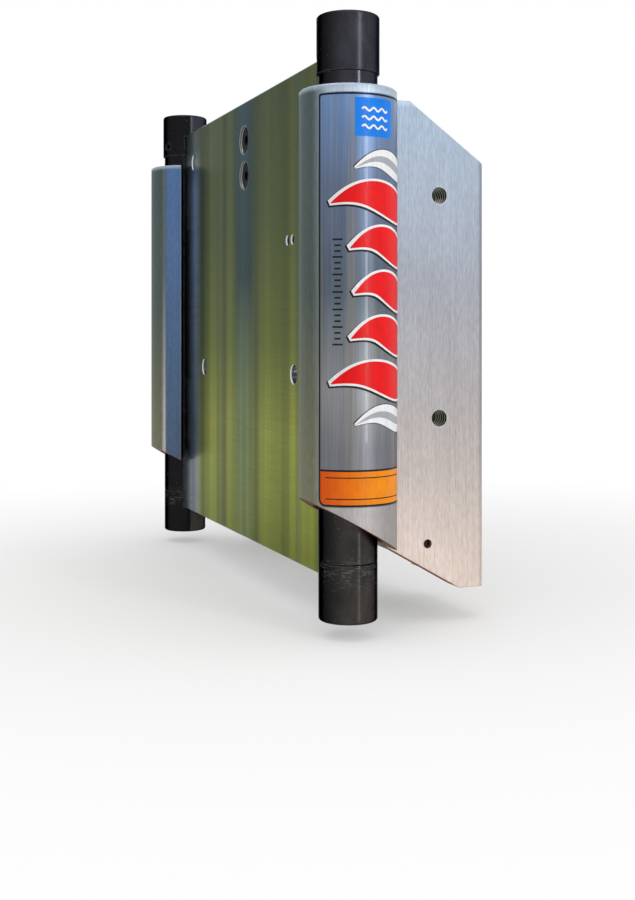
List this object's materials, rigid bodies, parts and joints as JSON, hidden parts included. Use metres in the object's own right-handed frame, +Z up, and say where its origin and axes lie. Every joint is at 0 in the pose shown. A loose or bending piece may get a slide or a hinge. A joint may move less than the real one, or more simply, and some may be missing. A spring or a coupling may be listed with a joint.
{
  "type": "hydraulic jack plate",
  "caption": "Boat jack plate: flat motor plate between black slide rods, guided in slotted tubes of transom brackets and lifted by a hydraulic ram behind it.",
  "frame": {"origin": "on the transom face, midway between the brackets, at the centre of the upper transom bolt pattern", "axes": "+X across the boat to starboard, +Y forward into the transom, +Z up along the slide rods"},
  "size_m": [0.5106, 0.1527, 0.4285],
  "materials": {
    "bracket_aluminium": "brushed",
    "plate_aluminium": "brushed",
    "mill_aluminium": "satin",
    "black_anodised": "semi-gloss black hard anodising",
    "bushing_plastic": "matte",
    "black_steel": "black oxide",
    "pin_steel": "ground",
    "ram_paint": "gloss black",
    "ram_alloy": "machined",
    "chrome_rod": "polished",
    "brass_fitting": "machined",
    "seal_rubber": "matte"
  },
  "bodies": {
    "transom_frame": {"guide_bracket_starboard": "bracket_aluminium", "guide_bracket_port": "bracket_aluminium", "upper_bushing_starboard": "bushing_plastic", "upper_bushing_port": "bushing_plastic", "lower_bushing_starboard": "bushing_plastic", "lower_bushing_port": "bushing_plastic", "bushing_set_screws": "black_steel", "lower_cross_beam": "mill_aluminium", "beam_screws": "black_steel", "beam_locating_pins": "black_steel", "base_clevis": "mill_aluminium", "base_clevis_screws": "black_steel", "base_pin": "pin_steel", "base_pin_clips": "black_steel", "ram_base_cap": "ram_paint", "ram_barrel": "ram_paint", "ram_gland": "ram_alloy", "gland_seals": "seal_rubber", "port_adapters": "brass_fitting"},
    "motor_carriage": {"motor_plate": "plate_aluminium", "slide_rod_starboard": "black_anodised", "slide_rod_port": "black_anodised", "plate_edge_screws": "black_steel", "top_collar_starboard": "black_anodised", "top_collar_port": "black_anodised", "collar_set_screws": "black_steel", "rod_end_plug_starboard": "black_anodised", "rod_end_plug_port": "black_anodised", "plug_set_screws": "black_steel", "lift_bracket": "mill_aluminium", "lift_bracket_screws": "black_steel", "lift_pin": "pin_steel", "lift_pin_clips": "black_steel", "ram_rod_eye": "ram_paint", "ram_rod": "chrome_rod", "ram_piston": "ram_alloy", "piston_seal": "seal_rubber", "piston_nut": "black_steel"}
  },
  "joints": [
    {"name": "lift", "type": "slide", "parent": "transom_frame", "child": "motor_carriage", "axis": [0, 0, 1], "range_m": [-0.0114, 0.128]}
  ]
}
